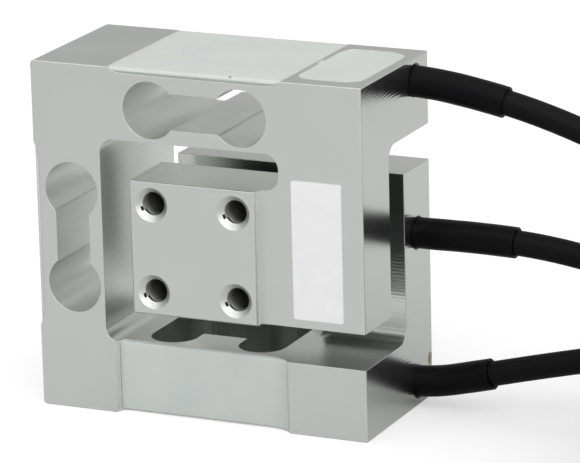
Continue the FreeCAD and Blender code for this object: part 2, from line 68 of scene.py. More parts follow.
def cad_copy(node):
    """A merged copy of a CAD node's triangles, with its flat faces joined up again."""
    shape = bmesh.new()
    shape.from_mesh(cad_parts[node].data)
    bmesh.ops.remove_doubles(shape, verts=shape.verts, dist=MERGE_REACH)
    bmesh.ops.dissolve_limit(shape, angle_limit=FLAT_ANGLE, verts=shape.verts, edges=shape.edges)
    return shape


def break_edges(shape, width, segments):
    """Rounds the outward edges of about a right angle."""
    sharp = [edge for edge in shape.edges if edge.is_manifold and edge.is_convex
             and BROKEN_ANGLES[0] < edge.calc_face_angle() < BROKEN_ANGLES[1]]
    bmesh.ops.bevel(shape, geom=sharp, offset=width, offset_type="OFFSET", segments=segments,
                    profile=0.5, affect="EDGES", clamp_overlap=False, material=-1)


def new_piece(name, shape, *materials, sharp_angle=40):
    """Makes a smooth-shaded object of a bmesh and lets it ride on the body."""
    mesh = bpy.data.meshes.new(name)
    shape.to_mesh(mesh)
    shape.free()
    mesh.shade_smooth()
    mesh.set_sharp_from_angle(angle=math.radians(sharp_angle))
    for material in materials:
        mesh.materials.append(material)
    piece = bpy.data.objects.new(name, mesh)
    bpy.context.scene.collection.objects.link(piece)
    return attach(piece, "root")


def linear(hex_colour):
    """An sRGB hex value as a linear colour with alpha."""
    parts = [int(hex_colour[at:at + 2], 16) / 255 for at in (1, 3, 5)]
    return [part / 12.92 if part <= 0.04045 else ((part + 0.055) / 1.055) ** 2.4 for part in parts] + [1.0]


def new_material(name):
    """An empty node material."""
    material = bpy.data.materials.new(name)
    material.use_nodes = True
    material.node_tree.nodes.clear()
    return material


def add_node(material, kind, inputs, **settings):
    """Adds a node with its settings; each input is a value or another node's output."""
    node = material.node_tree.nodes.new(kind)
    for name, value in settings.items():
        setattr(node, name, value)
    for name, value in inputs.items():
        if isinstance(value, bpy.types.NodeSocket):
            material.node_tree.links.new(value, node.inputs[name])
        else:
            node.inputs[name].default_value = value
    return node


# Bead-blasted faces scatter softly with a fine grain, face-milled ones mirror in a blurred way along fine
# arcs, walls left by the cutter have faint streaks along the cut, and handling leaves cloudy smudges.
aluminium = new_material("bead_blasted_and_milled_aluminium")
place = add_node(aluminium, "ShaderNodeTexCoord", {}).outputs["Object"]
finish = add_node(aluminium, "ShaderNodeAttribute", {}, attribute_name="finish_roughness").outputs["Fac"]
as_cut = add_node(aluminium, "ShaderNodeAttribute", {}, attribute_name="as_cut").outputs["Fac"]
arcs_mask = add_node(aluminium, "ShaderNodeAttribute", {}, attribute_name="mill_arcs").outputs["Fac"]
crosswise = add_node(aluminium, "ShaderNodeAttribute", {}, attribute_name="milled_crosswise").outputs["Fac"]
smudge = add_node(aluminium, "ShaderNodeTexNoise",
                  {"Vector": place, "Scale": 1 / (16 * MM), "Detail": 3.0, "Roughness": 0.55}).outputs["Fac"]
# Bead dimples of 0.1 mm are drawn at 0.35 mm, so that they show.
grain = add_node(aluminium, "ShaderNodeTexNoise",
                 {"Vector": place, "Scale": 1 / (0.35 * MM), "Detail": 2.0}).outputs["Fac"]
along_cut = add_node(aluminium, "ShaderNodeMapping", {"Vector": place, "Scale": (1.0, 0.008, 1.0)})
# The cutter's streaks of 0.1 mm are drawn at 0.6 mm, so that they show.
cut_lines = add_node(aluminium, "ShaderNodeTexNoise",
                     {"Vector": along_cut.outputs["Vector"], "Scale": 1 / (0.6 * MM), "Detail": 1.0})
# A face mill, 63 mm across and fed upwards, leaves an arc at each turn. Arcs of 0.2 mm are drawn at
# 0.75 mm, so that they show.
spot = add_node(aluminium, "ShaderNodeSeparateXYZ", {0: place}).outputs
off_feed = add_node(aluminium, "ShaderNodeMix", {0: crosswise, 2: spot["Y"], 3: spot["X"]}).outputs[0]
squared = add_node(aluminium, "ShaderNodeMath", {0: off_feed, 1: off_feed}, operation="MULTIPLY").outputs[0]
left_over = add_node(aluminium, "ShaderNodeMath", {0: MILL_RADIUS ** 2, 1: squared},
                     operation="SUBTRACT").outputs[0]
arc = add_node(aluminium, "ShaderNodeMath", {0: left_over}, operation="SQRT").outputs[0]
feed = add_node(aluminium, "ShaderNodeMath", {0: spot["Z"], 1: arc}, operation="SUBTRACT").outputs[0]
feed_line = add_node(aluminium, "ShaderNodeCombineXYZ", {"X": feed}).outputs[0]
mill_arcs = add_node(aluminium, "ShaderNodeTexWave",
                     {"Vector": feed_line, "Scale": math.pi / 10 / (0.75 * MM), "Distortion": 2.5,
                      "Detail": 2.0, "Detail Scale": 1.5})
marks = add_node(aluminium, "ShaderNodeMath", {0: mill_arcs.outputs["Fac"], 1: arcs_mask},
                 operation="MULTIPLY").outputs[0]
cut_relief = add_node(aluminium, "ShaderNodeBump", {"Height": marks, "Strength": 0.5, "Distance": 0.02 * MM})
dimpled = add_node(aluminium, "ShaderNodeMapRange", {"Value": as_cut, "To Min": 0.35, "To Max": 0.0})
relief = add_node(aluminium, "ShaderNodeBump",
                  {"Height": grain, "Strength": dimpled.outputs["Result"], "Distance": 0.004 * MM,
                   "Normal": cut_relief.outputs["Normal"]})
blasted_tone = add_node(aluminium, "ShaderNodeMix",
                        {0: smudge, 6: linear("#D9DCD9"), 7: linear("#E1E3DF")}, data_type="RGBA").outputs[2]
streaked_tone = add_node(aluminium, "ShaderNodeMix",
                         {0: cut_lines.outputs["Fac"], 6: linear("#E6E8E4"), 7: linear("#F2F4F0")},
                         data_type="RGBA").outputs[2]
tone = add_node(aluminium, "ShaderNodeMix", {0: as_cut, 6: blasted_tone, 7: streaked_tone},
                data_type="RGBA").outputs[2]
spread = add_node(aluminium, "ShaderNodeMath", {0: smudge, 1: 0.1, 2: finish}, operation="MULTIPLY_ADD")
metal = add_node(aluminium, "ShaderNodeBsdfPrincipled",
                 {"Base Color": tone, "Metallic": 1.0, "Roughness": spread.outputs[0],
                  "Normal": relief.outputs["Normal"]})
add_node(aluminium, "ShaderNodeOutputMaterial", {"Surface": metal.outputs[0]})

block = cad_copy("sensor_body")
finish_layer = block.faces.layers.float.new("finish_roughness")
as_cut_layer = block.faces.layers.float.new("as_cut")
arcs_layer = block.faces.layers.float.new("mill_arcs")
crosswise_layer = block.faces.layers.float.new("milled_crosswise")
# The limits on a face's outward direction tell flat faces, slopes and roundings apart.
for face in block.faces:
    middle, out = face.calc_center_median(), face.normal
    cable_side = out.x > 0.9 and middle.x > body_high.x - NEAR
    outer = (abs(out.y) > 0.7 and abs(middle.y) > frame_face - NEAR
             or out.x < -0.3 and middle.x < body_low.x + CORNER
             or abs(out.z) > 0.3 and not body_low.z + CORNER < middle.z < body_high.z - CORNER)
    rounded_edge = max(map(abs, out)) < 0.97 and (outer or middle.x > body_high.x - CABLE_SIDE_EDGE)
    split_face = abs(out.y) > 0.9 and not outer
    countersink = 0.6 < abs(out.y) < 0.8 and abs(middle.y) > body_high.y - COUNTERSINK_ZONE
    face[finish_layer] = (COUNTERSUNK_ROUGHNESS if countersink else
                          FILED_ROUGHNESS if rounded_edge else
                          FACE_MILLED_ROUGHNESS if cable_side or split_face else
                          BLASTED_ROUGHNESS if outer else AS_CUT_ROUGHNESS)
    face[as_cut_layer] = 0.0 if outer or cable_side or split_face else 1.0
    face[arcs_layer] = 1.0 if cable_side or split_face else 0.0
    face[crosswise_layer] = 1.0 if split_face else 0.0
break_edges(block, EDGE_BREAK, 2)
body = new_piece("milled_body", block, aluminium)
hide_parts("sensor_body")
weighting = body.modifiers.new("flat_faces_stay_flat", "WEIGHTED_NORMAL")
weighting.keep_sharp = True

# Screw threads
# The four holes in each mounting block are tapped M6. A thread is a ridge with a pitch of 1 mm, which
# winds inwards, right-handed. The countersink cuts the first crest off, down to a bright slope with a notch
# where the groove runs out. Inside, the hole is painted dark as shade, darker further in, and only the crests
# keep the bare metal.
THREAD_PITCH = 1.0 * MM
THREAD_ROOT = 3.02 * MM
THREAD_CREST = 2.54 * MM
THREAD_HEIGHT = THREAD_ROOT - THREAD_CREST
THREAD_START = 2.2 * MM      # the middle of the first full turn, below the mounting face
SOLID_MOUTH = 0.4 * MM       # how far the solid's mouth is chamfered
MOUTH = 0.75 * MM            # how far the real one is
ON_CIRCLE = 0.02 * MM        # how near a vertex lies to the circle that it belongs to
CREST_LAND = 0.14 * MM
SHADE_START_DEPTH = 0.9 * MM      # the painted shade in the hole begins at this depth, and is darkest from this one
FULL_SHADE_DEPTH = 4.5 * MM       # and dark with oil from here
THREAD_TURNS = 9
STEPS_PER_TURN = 28
HOLE_SQUARE = 19 * MM
START_ANGLE = math.radians(215)
NOTCH = math.radians(20)
RIDGE_FOOT = 0.46 * THREAD_PITCH   # half the ridge's width at the root,
RIDGE_TOP = 0.08 * THREAD_PITCH    # and at the crest
# Corners of the ridge, and of the first crest, cut off along the countersink's slope: radius, and depth
# below the mounting face
RIDGE = ((THREAD_ROOT, THREAD_START - RIDGE_FOOT), (THREAD_CREST, THREAD_START - RIDGE_TOP),
         (THREAD_CREST, THREAD_START + RIDGE_TOP), (THREAD_ROOT, THREAD_START + RIDGE_FOOT))
FIRST_CREST = ((THREAD_ROOT, MOUTH), (THREAD_CREST, MOUTH + THREAD_HEIGHT),
               (THREAD_CREST, MOUTH + THREAD_HEIGHT + CREST_LAND),
               (THREAD_ROOT, MOUTH + 2 * THREAD_HEIGHT + CREST_LAND))
block_middle = (body_low.z + body_high.z) / 2


def wind(shape, hole_mouth, inward, corners, start, angle, steps, lead):
    """Winds a closed outline round a hole's axis, and inwards by the lead at each step."""
    ring_x, ring_z = math.cos(start), math.sin(start)
    points = [shape.verts.new(hole_mouth + Vector((radius * ring_x, inward * depth, radius * ring_z)))
              for radius, depth in corners]
    profile = shape.faces.new(points)
    bmesh.ops.spin(shape, geom=[profile, *profile.edges, *points], cent=hole_mouth, axis=(0, inward, 0),
                   dvec=(0, inward * lead, 0), angle=angle, steps=steps)


# Torn metal, painted dark as shade deeper in the hole: a weak, uneven mirror.
tapped = new_material("tapped_aluminium_with_painted_shade")
place = add_node(tapped, "ShaderNodeTexCoord", {}).outputs["Object"]
shade_and_roughness_noise = add_node(tapped, "ShaderNodeTexNoise",
               {"Vector": place, "Scale": 1 / (0.8 * MM), "Detail": 3.0}).outputs["Fac"]
# A mottled dark tone, painted into the hole as shade.
painted_shade_tone = add_node(tapped, "ShaderNodeMix", {0: shade_and_roughness_noise, 6: linear("#1C1D1A"), 7: linear("#454743")},
                    data_type="RGBA").outputs[2]
spot = add_node(tapped, "ShaderNodeSeparateXYZ", {0: place}).outputs
off_middle = add_node(tapped, "ShaderNodeMath", {0: spot["Y"]}, operation="ABSOLUTE").outputs[0]
# Near the mouth the hole keeps the bare metal's colour; further in, the painted shade darkens it.
bare = add_node(tapped, "ShaderNodeMapRange",
                {"Value": off_middle, "From Min": body_high.y - FULL_SHADE_DEPTH,
                 "From Max": body_high.y - SHADE_START_DEPTH}).outputs["Result"]
hole_tone_with_painted_shade = add_node(tapped, "ShaderNodeMix", {0: bare, 6: painted_shade_tone, 7: linear("#8C8D85")},
                     data_type="RGBA").outputs[2]
torn = add_node(tapped, "ShaderNodeMapRange", {"Value": shade_and_roughness_noise, "To Min": 0.25, "To Max": 0.5}).outputs["Result"]
flank = add_node(tapped, "ShaderNodeBsdfPrincipled",
                 {"Base Color": hole_tone_with_painted_shade, "Metallic": 1.0, "Roughness": torn})
add_node(tapped, "ShaderNodeOutputMaterial", {"Surface": flank.outputs[0]})

hole_axes = [Vector((x, 0, block_middle + z)) for x in (-HOLE_SQUARE / 2, HOLE_SQUARE / 2)
             for z in (-HOLE_SQUARE / 2, HOLE_SQUARE / 2)]
body.data.materials.append(tapped)
# Each countersink of the solid is widened to its real size, and both its edges stay sharp.
cone_rims, cone_ends = set(), set()
for vertex in body.data.vertices:
    axis = min(hole_axes, key=lambda middle: (Vector((vertex.co.x, 0, vertex.co.z)) - middle).length)
    off_axis = Vector((vertex.co.x - axis.x, 0, vertex.co.z - axis.z))
    depth = body_high.y - abs(vertex.co.y)
    if depth < ON_CIRCLE and off_axis.length < THREAD_ROOT + SOLID_MOUTH:
        vertex.co += off_axis.normalized() * (MOUTH - SOLID_MOUTH)
        cone_rims.add(vertex.index)
    elif abs(depth - SOLID_MOUTH) < ON_CIRCLE and off_axis.length < THREAD_ROOT:
        vertex.co.y -= math.copysign(MOUTH - SOLID_MOUTH, vertex.co.y)
        cone_ends.add(vertex.index)
for edge in body.data.edges:
    if cone_rims.issuperset(edge.vertices) or cone_ends.issuperset(edge.vertices):
        edge.use_edge_sharp = True
# The hole walls take the tapped material, with its painted shade.
for face in body.data.polygons:
    off_axis = min((Vector((face.center.x, 0, face.center.z)) - axis).length for axis in hole_axes)
    if off_axis < THREAD_ROOT:
        face.material_index = 1
for side, face_y, inward in (("front", body_low.y, 1), ("rear", body_high.y, -1)):
    threads = bmesh.new()
    for axis in hole_axes:
        hole_mouth = axis + Vector((0, face_y, 0))
        wind(threads, hole_mouth, inward, RIDGE, START_ANGLE, math.tau * THREAD_TURNS,
             THREAD_TURNS * STEPS_PER_TURN, THREAD_PITCH / STEPS_PER_TURN)
        wind(threads, hole_mouth, inward, FIRST_CREST, START_ANGLE - inward * NOTCH, math.tau - NOTCH,
             2 * STEPS_PER_TURN, 0.0)
    bmesh.ops.recalc_face_normals(threads, faces=threads.faces)
    thread_finish = threads.faces.layers.float.new("finish_roughness")
    # The crests and the cut-off first crest keep the body's metal; flanks and roots take the tapped material,
    # with its painted shade.
    for face in threads.faces:
        middle = face.calc_center_median()
        off_axis = min((Vector((middle.x, 0, middle.z)) - axis).length for axis in hole_axes)
        cut_off = body_high.y - abs(middle.y) < MOUTH + THREAD_HEIGHT
        face[thread_finish] = COUNTERSUNK_ROUGHNESS if cut_off else AS_CUT_ROUGHNESS
        face.material_index = 0 if off_axis < THREAD_CREST or cut_off else 1
    new_piece(f"{side}_screw_threads", threads, aluminium, tapped)

# Strain gauges
# Foil grids of a copper-nickel alloy on amber polyimide film, bonded to the floor of each recess over the
# thin sections of the beams. The silicone hides them.
gauge_film = new_material("etched_foil_on_polyimide_film")
place = add_node(gauge_film, "ShaderNodeTexCoord", {}).outputs["Object"]
grid_lines = add_node(gauge_film, "ShaderNodeTexWave",
                      {"Vector": place, "Scale": math.pi / 10 / (0.3 * MM)}, bands_direction="DIAGONAL")
foil = add_node(gauge_film, "ShaderNodeMath", {0: grid_lines.outputs["Fac"], 1: 0.5},
                operation="GREATER_THAN").outputs[0]
film_colour = add_node(gauge_film, "ShaderNodeMix",
                       {0: foil, 6: linear("#B5772B"), 7: linear("#A79A88")}, data_type="RGBA").outputs[2]
film = add_node(gauge_film, "ShaderNodeBsdfPrincipled",
                {"Base Color": film_colour, "Metallic": foil, "Roughness": 0.35})
add_node(gauge_film, "ShaderNodeOutputMaterial", {"Surface": film.outputs[0]})
GAUGED_FACES = ("top", "left", "front", "rear")
for name in GAUGED_FACES:
    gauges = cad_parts[f"{name}_strain_gauges"]
    gauges.data.materials.clear()
    gauges.data.materials.append(gauge_film)

# Gauge silicone
# White sealing silicone, poured over the gauges and left to level itself, so that it rounds off along
# the open sides of each recess. It is slightly translucent, with faint stains and a speck of dust.
DUST_SPECK = (8.32 * MM, -16.74 * MM, 75.88 * MM)

silicone = new_material("poured_white_silicone")
place = add_node(silicone, "ShaderNodeTexCoord", {}).outputs["Object"]
cloud = add_node(silicone, "ShaderNodeTexNoise",
                 {"Vector": place, "Scale": 1 / (9 * MM), "Detail": 3.0, "Roughness": 0.6}).outputs["Fac"]
milky = add_node(silicone, "ShaderNodeMix",
                 {0: cloud, 6: linear("#C6CDCB"), 7: linear("#D6DAD6")}, data_type="RGBA").outputs[2]
stain_noise = add_node(silicone, "ShaderNodeTexNoise",
                       {"Vector": place, "Scale": 1 / (13 * MM), "Detail": 2.0}).outputs["Fac"]
stain = add_node(silicone, "ShaderNodeMapRange",
                 {"Value": stain_noise, "From Min": 0.58, "From Max": 0.78, "To Max": 0.35}).outputs["Result"]
stained = add_node(silicone, "ShaderNodeMix",
                   {0: stain, 6: milky, 7: linear("#D0D0BE")}, data_type="RGBA").outputs[2]
dust = add_node(silicone, "ShaderNodeVectorMath", {0: place, 1: Vector(DUST_SPECK)}, operation="DISTANCE")
speck = add_node(silicone, "ShaderNodeMapRange",
                 {"Value": dust.outputs["Value"], "From Min": 0.2 * MM, "From Max": 0.45 * MM,
                  "To Min": 0.8, "To Max": 0.0})
specked = add_node(silicone, "ShaderNodeMix", {0: speck.outputs["Result"], 6: stained, 7: linear("#5E605C")},
                   data_type="RGBA").outputs[2]
waves = add_node(silicone, "ShaderNodeTexNoise", {"Vector": place, "Scale": 1 / (6 * MM), "Detail": 1.0})
levelled = add_node(silicone, "ShaderNodeBump",
                    {"Height": waves.outputs["Fac"], "Strength": 0.5, "Distance": 0.15 * MM})
rubber = add_node(silicone, "ShaderNodeBsdfPrincipled",
                  {"Base Color": specked, "Roughness": 0.42, "IOR": 1.41, "Subsurface Weight": 0.5,
                   "Subsurface Radius": (1.0, 1.0, 1.0), "Subsurface Scale": 1.2 * MM,
                   "Normal": levelled.outputs["Normal"]})
add_node(silicone, "ShaderNodeOutputMaterial", {"Surface": rubber.outputs[0]})
for name in GAUGED_FACES:
    layer = new_piece(f"{name}_gauge_seal", cad_copy(f"{name}_gauge_silicone"), silicone)
    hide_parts(f"{name}_gauge_silicone")

# Terminal boards
# A small glass-fibre circuit board on each pocket's floor joins the gauge wires to the cable's cores.
# It has green solder mask and tinned pads, and the silicone hides it.
CABLES = ("lower", "middle", "top")
board = new_material("solder_masked_circuit_board")
place = add_node(board, "ShaderNodeTexCoord", {}).outputs["Object"]
pads = add_node(board, "ShaderNodeTexVoronoi", {"Vector": place, "Scale": 1 / (2.5 * MM), "Randomness": 0.0})
pad = add_node(board, "ShaderNodeMath", {0: pads.outputs["Distance"], 1: 0.3},
               operation="LESS_THAN").outputs[0]
mask_colour = add_node(board, "ShaderNodeMix", {0: pad, 6: linear("#1D5B34"), 7: linear("#C9CBC8")},
                       data_type="RGBA").outputs[2]
laminate = add_node(board, "ShaderNodeBsdfPrincipled",
                    {"Base Color": mask_colour, "Metallic": pad, "Roughness": 0.35})
add_node(board, "ShaderNodeOutputMaterial", {"Surface": laminate.outputs[0]})
for name in CABLES:
    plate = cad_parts[f"{name}_terminal_board"]
    plate.data.materials.clear()
    plate.data.materials.append(board)

# Cables
# One round four-core cable for each axis, with a matt black PVC jacket. It comes straight out of its bore,
# sags to the side of the sensor, and its stored length is wound into a round coil of four layers.
CABLE = 5.4 * MM
JACKET_ENDS = {"lower": (0.0308, 0.01065, 0.0048), "middle": (0.0308, 0.01065, 0.038),
               "top": (0.0308, 0.01065, 0.0712)}
ROUTES = {
    "lower": [(0.04, 0.01065, 0.0049), (0.051, 0.0109, 0.0075), (0.064, 0.0114, 0.0108),
              (0.079, 0.0123, 0.0142), (0.094, 0.0134, 0.0174), (0.1085, 0.0143, 0.0196),
              (0.1195, 0.0146, 0.0203)],
    "middle": [(0.04, 0.01065, 0.038), (0.0515, 0.01075, 0.0382), (0.0655, 0.0111, 0.0377),
               (0.08, 0.0119, 0.0352), (0.095, 0.013, 0.031), (0.109, 0.0141, 0.0274),
               (0.1195, 0.0146, 0.026)],
    "top": [(0.04, 0.01065, 0.0711), (0.0515, 0.0107, 0.0695), (0.065, 0.0109, 0.0666),
            (0.08, 0.0116, 0.0614), (0.095, 0.0128, 0.0552), (0.109, 0.0141, 0.0502),
            (0.1195, 0.0146, 0.0481)],
}
COIL_MIDDLE = Vector((0.128, -0.01835, 0))
COIL_BASE = 1.0 * MM         # the tie under the coils is this thick, with its clearance
TURN_PITCH = 5.5 * MM
OUTER_TURN = 33 * MM
LAYERS = 4
TURN_POINTS = 24             # control points in one turn
MOVE_POINTS = 6              # control points over which the cable moves to the next turn or layer
LAYER_SHIFT = 4              # control points by which one layer's moves come before the last layer's
ENTRY_LAYERS = {"lower": 3, "middle": 0, "top": 0}
CABLE_EXIT_X = body_high.x


def coil_points(name):
    """The stored turns, clockwise from above: in, one layer on, out again, for all four layers."""
    entry = ENTRY_LAYERS[name]
    layer_step = 1 if entry == 0 else -1
    inward = -TURN_PITCH
    # How many points each stretch has before the cable moves on
    stretches = []
    for layer in range(LAYERS):
        first = TURN_POINTS - MOVE_POINTS - (0 if layer == 0 else LAYER_SHIFT)
        last = TURN_POINTS - LAYER_SHIFT - (0 if layer == LAYERS - 1 else MOVE_POINTS)
        across = inward if layer % 2 == 0 else -inward
        stretches += [(first, across, 0), (TURN_POINTS - MOVE_POINTS, across, 0), (last, 0, layer_step)]
    radius, level, turned, points = OUTER_TURN, entry, 0, []
    for count, (steps, across, up) in enumerate(stretches):
        moving = 0 if count == len(stretches) - 1 else MOVE_POINTS
        for step in range(steps + moving):
            moved = max(0, step + 1 - steps) / MOVE_POINTS
            turned += 1
            angle = math.radians(90) - math.tau * turned / TURN_POINTS
            height = COIL_BASE + (CABLES.index(name) * LAYERS + level + up * moved + 0.5) * TURN_PITCH
            reach = radius + across * moved
            points.append(COIL_MIDDLE + Vector((reach * math.cos(angle), reach * math.sin(angle), height)))
        radius, level = radius + across, level + up
    return points


jacket = new_material("extruded_black_pvc_jacket")
place = add_node(jacket, "ShaderNodeTexCoord", {}).outputs["Object"]
scuff = add_node(jacket, "ShaderNodeTexNoise",
                 {"Vector": place, "Scale": 1 / (5 * MM), "Detail": 4.0, "Roughness": 0.6}).outputs["Fac"]
jacket_tone = add_node(jacket, "ShaderNodeMix", {0: scuff, 6: linear("#08080A"), 7: linear("#101012")},
                       data_type="RGBA").outputs[2]
matt = add_node(jacket, "ShaderNodeMapRange",
                {"Value": scuff, "To Min": 0.42, "To Max": 0.62}).outputs["Result"]
# Extrusion leaves a skin texture of 0.1 mm, drawn at 0.4 mm, so that it shows.
skin = add_node(jacket, "ShaderNodeTexNoise", {"Vector": place, "Scale": 1 / (0.4 * MM), "Detail": 2.0})
skin_relief = add_node(jacket, "ShaderNodeBump",
                       {"Height": skin.outputs["Fac"], "Strength": 0.3, "Distance": 0.02 * MM})
vinyl = add_node(jacket, "ShaderNodeBsdfPrincipled",
                 {"Base Color": jacket_tone, "Roughness": matt, "IOR": 1.52, "Specular IOR Level": 0.12,
                  "Normal": skin_relief.outputs["Normal"]})
add_node(jacket, "ShaderNodeOutputMaterial", {"Surface": vinyl.outputs[0]})

cords = {}
for name in CABLES:
    curve = bpy.data.curves.new(f"{name}_cord", "CURVE")
    curve.dimensions = "3D"
    start = Vector(JACKET_ENDS[name])
    entry_z = COIL_BASE + (CABLES.index(name) * LAYERS + ENTRY_LAYERS[name] + 0.5) * TURN_PITCH
    entry_point = COIL_MIDDLE + Vector((0, OUTER_TURN, entry_z))
    route = [start, *map(Vector, ROUTES[name]), entry_point, *coil_points(name)]
    spline = curve.splines.new("NURBS")
    spline.points.add(len(route) - 1)
    for control, point in zip(spline.points, route):
        control.co = (*point, 1.0)
    spline.order_u = 3
    spline.use_endpoint_u = True
    spline.resolution_u = 8
    curve.bevel_depth = CABLE / 2
    curve.bevel_resolution = 6
    curve.use_fill_caps = True
    curve.materials.append(jacket)
    cord = bpy.data.objects.new(f"{name}_cord", curve)
    bpy.context.scene.collection.objects.link(cord)
    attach(cord, "root")
    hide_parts(f"{name}_cable", f"{name}_cable_coil")
    cords[name] = cord

# Heat-shrink sleeves
# A black polyolefin sleeve is shrunk over each cable where it leaves the body, and reaches into the bore.
# It follows the bend of the cable, and ends in a clean knife cut that stands a little off the jacket.
SLEEVE = 6.7 * MM
SLEEVE_START = 34.6 * MM
SLEEVE_ENDS = {"lower": 55.2 * MM, "middle": 60.4 * MM, "top": 58.2 * MM}
SLEEVE_SEGMENTS = 40
EXIT_POINTS = 80             # points of the centreline that come before the coil
UNEVEN = 0.06 * MM           # how unevenly the sleeve has shrunk, over stretches of
UNEVEN_LENGTH = 4 * MM
LIP = ((0.25, 0.0), (0.33, 0.06), (0.36, 0.18), (0.34, 0.5), (0.2, 0.62))   # mm forward and inwards


def centreline(cord):
    """Points along a cord's own spline, read from a copy of it with no bevel."""
    bare = cord.copy()
    bare.data = cord.data.copy()
    bare.data.bevel_depth = 0
    bpy.context.scene.collection.objects.link(bare)
    bpy.context.view_layer.update()
    mesh = bpy.data.meshes.new_from_object(bare.evaluated_get(bpy.context.evaluated_depsgraph_get()))
    points = [vertex.co.copy() for vertex in mesh.vertices]
    bpy.data.objects.remove(bare)
    return points


def ring(shape, middle, along, radius):
    """The edges of a new ring of vertices round a line."""
    turn = along.to_track_quat("Z", "Y").to_matrix().to_4x4()
    made = bmesh.ops.create_circle(shape, segments=SLEEVE_SEGMENTS, radius=radius,
                                   matrix=Matrix.Translation(middle) @ turn)
    return list({edge for vertex in made["verts"] for edge in vertex.link_edges})


shrink = new_material("shrunk_black_polyolefin")
place = add_node(shrink, "ShaderNodeTexCoord", {}).outputs["Object"]
stretched = add_node(shrink, "ShaderNodeMapping",
                     {"Vector": place, "Scale": (0.25, 1.0, 1.0)}).outputs["Vector"]
ripple = add_node(shrink, "ShaderNodeTexNoise",
                  {"Vector": stretched, "Scale": 1 / (1.6 * MM), "Detail": 3.0}).outputs["Fac"]
shrink_tone = add_node(shrink, "ShaderNodeMix", {0: ripple, 6: linear("#050507"), 7: linear("#0B0B0E")},
                       data_type="RGBA").outputs[2]
satin = add_node(shrink, "ShaderNodeMapRange",
                 {"Value": ripple, "To Min": 0.32, "To Max": 0.5}).outputs["Result"]
ripple_relief = add_node(shrink, "ShaderNodeBump", {"Height": ripple, "Strength": 0.4, "Distance": 0.06 * MM})
polyolefin = add_node(shrink, "ShaderNodeBsdfPrincipled",
                      {"Base Color": shrink_tone, "Roughness": satin, "IOR": 1.5, "Specular IOR Level": 0.1,
                       "Normal": ripple_relief.outputs["Normal"]})
add_node(shrink, "ShaderNodeOutputMaterial", {"Surface": polyolefin.outputs[0]})

for name in CABLES:
    line = [point for point in centreline(cords[name])[:EXIT_POINTS]
            if SLEEVE_START < point.x < SLEEVE_ENDS[name]]
    sleeve = bmesh.new()
    directions = [(after - before).normalized() for before, after in zip(line, line[1:])]
    directions.append(directions[-1])
    # The radius along the sleeve: shrunk a little unevenly, with a rounded lip down to the jacket at its end
    stations = [(point, along, SLEEVE / 2 + UNEVEN * noise.noise(point / UNEVEN_LENGTH))
                for point, along in zip(line, directions)]
    tip, tip_along, tip_radius = stations[-1]
    for forward, inset in LIP:
        stations.append((tip + tip_along * forward * MM, tip_along, tip_radius - inset * MM))
    rings = [ring(sleeve, *station) for station in stations]
    for near, far in zip(rings, rings[1:]):
        bmesh.ops.bridge_loops(sleeve, edges=near + far)
    bmesh.ops.contextual_create(sleeve, geom=rings[0])
    bmesh.ops.contextual_create(sleeve, geom=rings[-1])
    bmesh.ops.recalc_face_normals(sleeve, faces=sleeve.faces)
    new_piece(f"{name}_sleeve", sleeve, shrink, sharp_angle=70)
    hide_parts(f"{name}_cable_sleeve")

# Exit seals
# Clear adhesive, slightly yellow, closes the narrow gap between each sleeve and its bore. A drop of it was
# smeared on the metal above the lower cable.
BORE_RADIUS = SLEEVE / 2 + 0.25 * MM
# Corners of the bead's cross-section: mm out of the bore and off its wall
BEAD = ((-0.9, -0.01), (-0.35, -0.01), (-0.42, -0.08), (-0.42, -0.18), (-0.35, -0.26), (-0.9, -0.26))
DROP_PLACE = Vector((CABLE_EXIT_X, 16.2 * MM, 8.55 * MM))
DROP_SIZE = (0.08 * MM, 0.95 * MM, 1.45 * MM)

adhesive = new_material("cured_clear_adhesive")
place = add_node(adhesive, "ShaderNodeTexCoord", {}).outputs["Object"]
flow = add_node(adhesive, "ShaderNodeTexNoise", {"Vector": place, "Scale": 1 / (1.5 * MM), "Detail": 2.0})
resin_tone = add_node(adhesive, "ShaderNodeMix",
                      {0: flow.outputs["Fac"], 6: linear("#8A845E"), 7: linear("#B5AF8B")}, data_type="RGBA")
resin = add_node(adhesive, "ShaderNodeBsdfPrincipled",
                 {"Base Color": resin_tone.outputs[2], "Roughness": 0.3, "IOR": 1.5, "Subsurface Weight": 0.3,
                  "Subsurface Radius": (1.0, 0.9, 0.6), "Subsurface Scale": 0.4 * MM})
add_node(adhesive, "ShaderNodeOutputMaterial", {"Surface": resin.outputs[0]})
for name in CABLES:
    bead = bmesh.new()
    centre = Vector((CABLE_EXIT_X, *JACKET_ENDS[name][1:]))
    rings = [ring(bead, centre + Vector((out * MM, 0, 0)), Vector((1, 0, 0)), BORE_RADIUS + wide * MM)
             for out, wide in BEAD]
    for near, far in zip(rings, rings[1:] + rings[:1]):
        bmesh.ops.bridge_loops(bead, edges=near + far)
    if name == "lower":
        flattened = Matrix.Translation(DROP_PLACE) @ Matrix.Diagonal((*DROP_SIZE, 1.0))
        bmesh.ops.create_uvsphere(bead, u_segments=24, v_segments=16, radius=1.0, matrix=flattened)
    bmesh.ops.recalc_face_normals(bead, faces=bead.faces)
    new_piece(f"{name}_exit_seal", bead, adhesive)

# Wiring silicone
# The wiring pockets are filled with the same white silicone once the cores are soldered, to just below
# the face of the metal.
for name in CABLES:
    fill = cad_copy(f"{name}_wiring_silicone")
    filling = new_piece(f"{name}_pocket_seal", fill, silicone)
    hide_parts(f"{name}_wiring_silicone")

# Stripped cores
# At the free end the jacket is stripped off four stranded cores in red, black, green and white PVC, and
# the last few millimetres of each are bare, twisted and tinned.
CORE = 1.25 * MM
STRAND = 0.7 * MM
BARE_TIP = 5 * MM
CORE_OFFSET = 0.85 * MM
CORE_CUT = 0.12 * MM         # the rounding of the cut ends
CORE_PLACES = ((-1, -1), (1, -1), (-1, 1), (1, 1))
CORE_LENGTHS = (27 * MM, 24 * MM, 29 * MM, 22 * MM)
CORE_COLOURS = {"red": "#A3222A", "black": "#1B1B1D", "green": "#1F6B3A", "white": "#DADAD5"}

